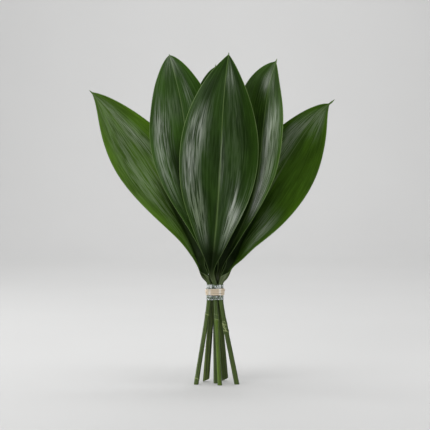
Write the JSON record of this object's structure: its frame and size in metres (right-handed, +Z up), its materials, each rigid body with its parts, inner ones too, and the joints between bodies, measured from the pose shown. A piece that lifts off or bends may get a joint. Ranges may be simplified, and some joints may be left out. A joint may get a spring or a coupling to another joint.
{
  "type": "tied bunch of cut cast iron plant leaves",
  "caption": "Bunch of long, dark green, lance-shaped leaves, pinched by a raffia tie over clear tape and standing on its splayed cut stalks.",
  "frame": {"origin": "on the floor, under the middle of the bunch's bounding box", "axes": "+Z up along the bunch, +X to the right, -Y towards the side that the leaves face"},
  "size_m": [0.3714, 0.0867, 0.4971],
  "materials": {
    "leaf": "glossy, leathery leaf with fine lengthwise veins",
    "clear_tape": "clear, thin and wrinkled",
    "raffia": "dry, pale straw-coloured fibre"
  },
  "bodies": {
    "root": {"leaf_centre": "leaf", "leaf_left_inner": "leaf", "leaf_left_outer": "leaf", "leaf_right_inner": "leaf", "leaf_right_outer": "leaf", "leaf_back": "leaf", "clear_tape": "clear_tape", "raffia_tie": "raffia"}
  },
  "joints": []
}
